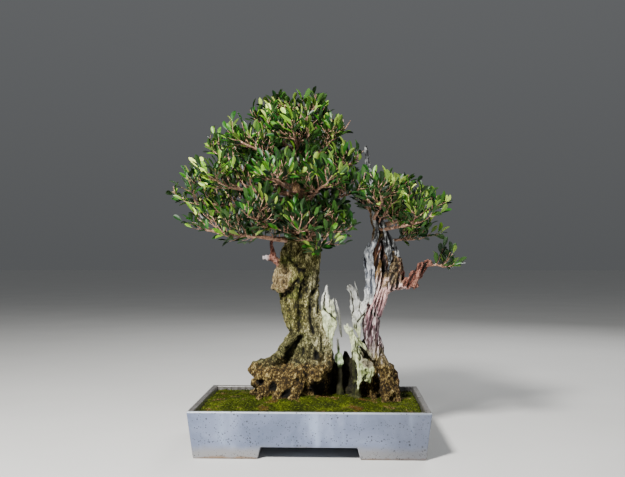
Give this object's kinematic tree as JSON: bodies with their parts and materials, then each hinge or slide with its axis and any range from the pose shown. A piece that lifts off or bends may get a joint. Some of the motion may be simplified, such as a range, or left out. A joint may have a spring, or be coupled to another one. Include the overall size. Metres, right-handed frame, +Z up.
{
  "type": "bonsai tree",
  "caption": "Old olive bonsai with split, bleached deadwood and leafy limbs, in mossy soil in a glazed rectangular footed pot.",
  "frame": {"origin": "on the surface that the pot stands on, below the middle of the pot", "axes": "+Z up; +X to the right as the tree is seen from its front; +Y from the front of the pot to its back"},
  "size_m": [0.6172, 0.4003, 0.7242],
  "materials": {
    "pot_glaze": "satin",
    "drain_mesh": "matte",
    "soil_grain": "matte",
    "moss_green": "matte",
    "olive_bark": "matte",
    "bleached_wood": "matte",
    "olive_leaf": "satin"
  },
  "bodies": {
    "root": {"deadwood_jin": "bleached_wood", "deadwood_left_shard": "bleached_wood", "deadwood_right_shards": "bleached_wood", "drain_screen_1": "drain_mesh", "drain_screen_2": "drain_mesh", "live_wood": "olive_bark", "moss": "moss_green", "pot": "pot_glaze", "soil": "soil_grain", "spray_apex_left": "olive_leaf", "spray_apex_right": "olive_leaf", "spray_back_low_left": "olive_leaf", "spray_back_low_right": "olive_leaf", "spray_back_mid_left": "olive_leaf", "spray_back_mid_right": "olive_leaf", "spray_back_upper": "olive_leaf", "spray_crown_back": "olive_leaf", "spray_crown_far": "olive_leaf", "spray_crown_front": "olive_leaf", "spray_crown_inner_back": "olive_leaf", "spray_crown_inner_front": "olive_leaf", "spray_crown_low": "olive_leaf", "spray_crown_top": "olive_leaf", "spray_front_low": "olive_leaf", "spray_front_low_left": "olive_leaf", "spray_front_mid": "olive_leaf", "spray_front_right": "olive_leaf", "spray_front_upper": "olive_leaf", "spray_left_far": "olive_leaf", "spray_left_low_back": "olive_leaf", "spray_left_low_front": "olive_leaf", "spray_left_mid_front": "olive_leaf", "spray_left_upper": "olive_leaf", "spray_left_upper_front": "olive_leaf", "spray_low_branch": "olive_leaf", "spray_right_limb": "olive_leaf", "spray_right_low": "olive_leaf", "spray_right_mid": "olive_leaf", "spray_right_upper": "olive_leaf", "spray_top_left": "olive_leaf"}
  },
  "joints": []
}
